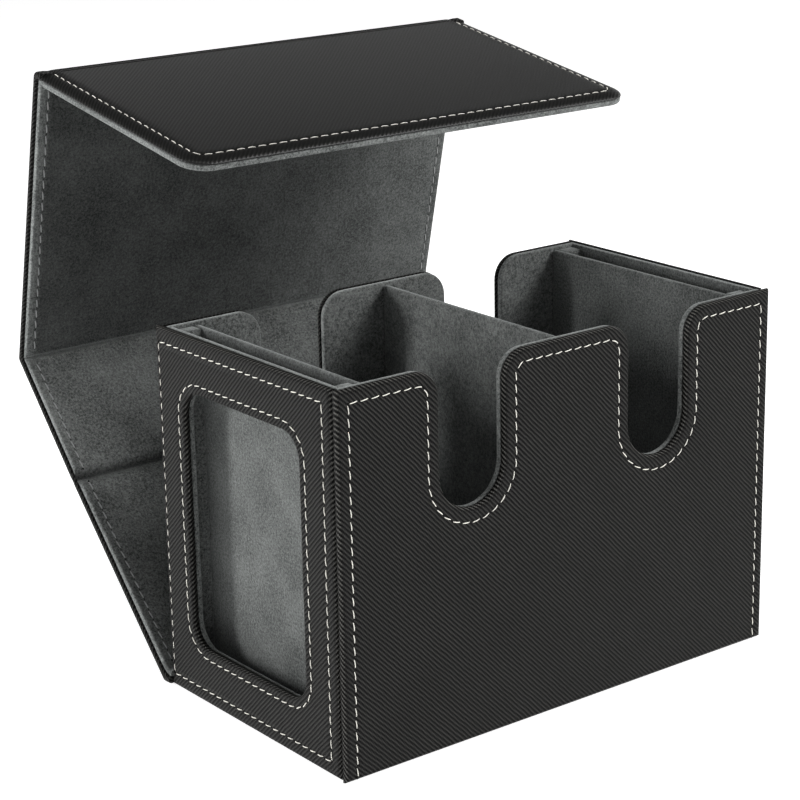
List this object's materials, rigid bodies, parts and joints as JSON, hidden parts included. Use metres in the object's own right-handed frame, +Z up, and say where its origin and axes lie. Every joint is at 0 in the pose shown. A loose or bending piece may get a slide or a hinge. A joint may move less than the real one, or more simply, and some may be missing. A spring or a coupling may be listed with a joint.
{
  "type": "card deck box",
  "caption": "Leatherette card deck box with a suede lining, open display windows, divided compartments and a hinged wrap-over cover.",
  "frame": {"origin": "middle of the flat underside of the box", "axes": "+X along the box's length, -Y out of the front wall that the closed flap covers, +Z up"},
  "size_m": [0.174, 0.1829, 0.1905],
  "materials": {
    "leatherette": "satin, fine diagonal twill emboss",
    "suede": "matt, short mottled nap",
    "greyboard": "matt, hidden core",
    "magnet": "hidden disc, bright nickel"
  },
  "bodies": {
    "box": {"front_wall_leather": "leatherette", "front_wall_board": "greyboard", "front_wall_lining": "suede", "back_wall_leather": "leatherette", "back_wall_board": "greyboard", "back_wall_lining": "suede", "left_end_leather": "leatherette", "left_end_board": "greyboard", "left_end_lining": "suede", "right_end_leather": "leatherette", "right_end_board": "greyboard", "right_end_lining": "suede", "floor_leather": "leatherette", "floor_board": "greyboard", "floor_lining": "suede", "left_divider_board": "greyboard", "left_divider_suede": "suede", "middle_divider_board": "greyboard", "middle_divider_suede": "suede", "right_divider_board": "greyboard", "right_divider_suede": "suede", "left_pocket_front_spacer": "suede", "left_pocket_back_spacer": "suede", "right_pocket_front_spacer": "suede", "right_pocket_back_spacer": "suede", "front_magnet_left": "magnet", "front_magnet_right": "magnet"},
    "lower_back_panel": {"cover_hinge_strip": "leatherette", "lower_back_leather": "leatherette", "lower_back_board": "greyboard", "lower_back_lining": "suede", "back_crease_strip": "leatherette"},
    "upper_back_panel": {"upper_back_leather": "leatherette", "upper_back_board": "greyboard", "upper_back_lining": "suede"},
    "top_fold": {"top_fold_strip": "leatherette"},
    "top_panel": {"top_leather": "leatherette", "top_board": "greyboard", "top_lining": "suede"},
    "flap_panel": {"flap_fold_strip": "leatherette", "flap_leather": "leatherette", "flap_board": "greyboard", "flap_lining": "suede", "flap_magnet_left": "magnet", "flap_magnet_right": "magnet"}
  },
  "joints": [
    {"name": "cover_hinge", "type": "hinge", "parent": "box", "child": "lower_back_panel", "pos_m": [0, 0.0502, 0.002], "axis": [1, 0, 0], "range_deg": [-46.2, 43.8]},
    {"name": "back_crease", "type": "hinge", "parent": "lower_back_panel", "child": "upper_back_panel", "pos_m": [0, 0.10149, 0.05548], "axis": [1, 0, 0], "range_deg": [-2.1, 2.2]},
    {"name": "top_fold_follow", "type": "hinge", "parent": "upper_back_panel", "child": "top_fold", "pos_m": [0, 0.13281, 0.09052], "axis": [1, 0, 0], "range_deg": [-16, 15.2]},
    {"name": "top_fold_bend", "type": "hinge", "parent": "top_fold", "child": "top_panel", "pos_m": [0, 0.13281, 0.09052], "axis": [1, 0, 0], "range_deg": [-38.9, 20]},
    {"name": "flap_fold", "type": "hinge", "parent": "top_panel", "child": "flap_panel", "pos_m": [0, 0.11001, 0.1885], "axis": [1, 0, 0], "range_deg": [-86.8, 3.2]}
  ],
  "couplings": [
    {"joint": "back_crease", "follows": "cover_hinge", "ratio": -0.045662},
    {"joint": "top_fold_follow", "follows": "cover_hinge", "ratio": 0.34475}
  ]
}
